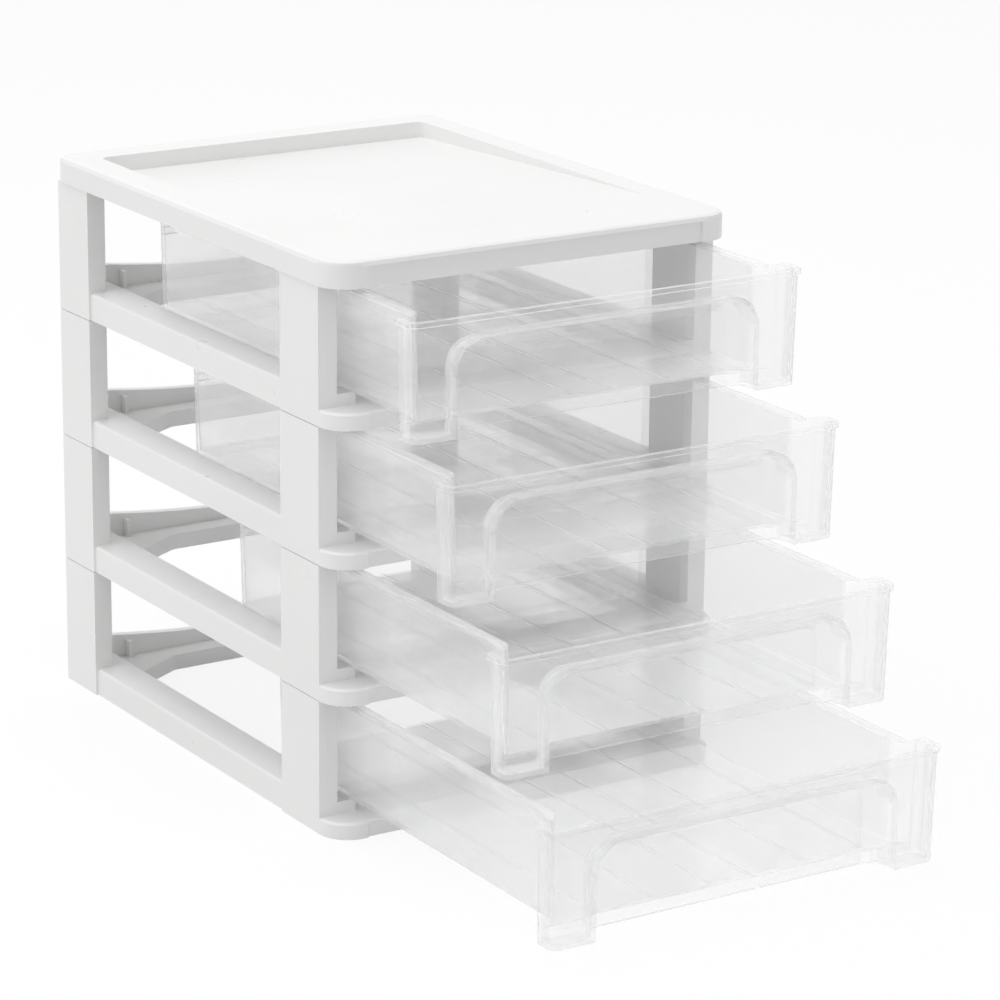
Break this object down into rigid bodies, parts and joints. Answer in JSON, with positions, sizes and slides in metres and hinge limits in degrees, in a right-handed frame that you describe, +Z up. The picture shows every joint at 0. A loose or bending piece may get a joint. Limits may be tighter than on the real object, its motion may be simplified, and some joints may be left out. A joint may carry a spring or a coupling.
{
  "type": "desktop mini drawers",
  "caption": "Desktop tower of stacking white plastic tiers with clear sliding drawers, arched finger recesses and a shallow tray on top.",
  "frame": {"origin": "middle of the tower's width, in the plane of the front posts' front faces, at the surface it stands on", "axes": "+Z up, -Y to the front where the drawers pull out, +X to the right seen from the front"},
  "size_m": [0.19, 0.3932, 0.239],
  "materials": {
    "white_plastic": "gloss",
    "clear_plastic": "clear gloss"
  },
  "bodies": {
    "frame": {"frame_tier_1": "white_plastic", "frame_tier_2": "white_plastic", "frame_tier_3": "white_plastic", "frame_tier_4": "white_plastic", "top_tray_lid": "white_plastic"},
    "drawer_1_body": {"drawer_1": "clear_plastic"},
    "drawer_2_body": {"drawer_2": "clear_plastic"},
    "drawer_3_body": {"drawer_3": "clear_plastic"},
    "drawer_4_body": {"drawer_4": "clear_plastic"}
  },
  "joints": [
    {"name": "drawer_1_slide", "type": "slide", "parent": "frame", "child": "drawer_1_body", "axis": [0, -1, 0], "range_m": [-0.1537, 0.0097]},
    {"name": "drawer_2_slide", "type": "slide", "parent": "frame", "child": "drawer_2_body", "axis": [0, -1, 0], "range_m": [-0.1203, 0.0431]},
    {"name": "drawer_3_slide", "type": "slide", "parent": "frame", "child": "drawer_3_body", "axis": [0, -1, 0], "range_m": [-0.0813, 0.0821]},
    {"name": "drawer_4_slide", "type": "slide", "parent": "frame", "child": "drawer_4_body", "axis": [0, -1, 0], "range_m": [-0.0531, 0.1103]}
  ]
}
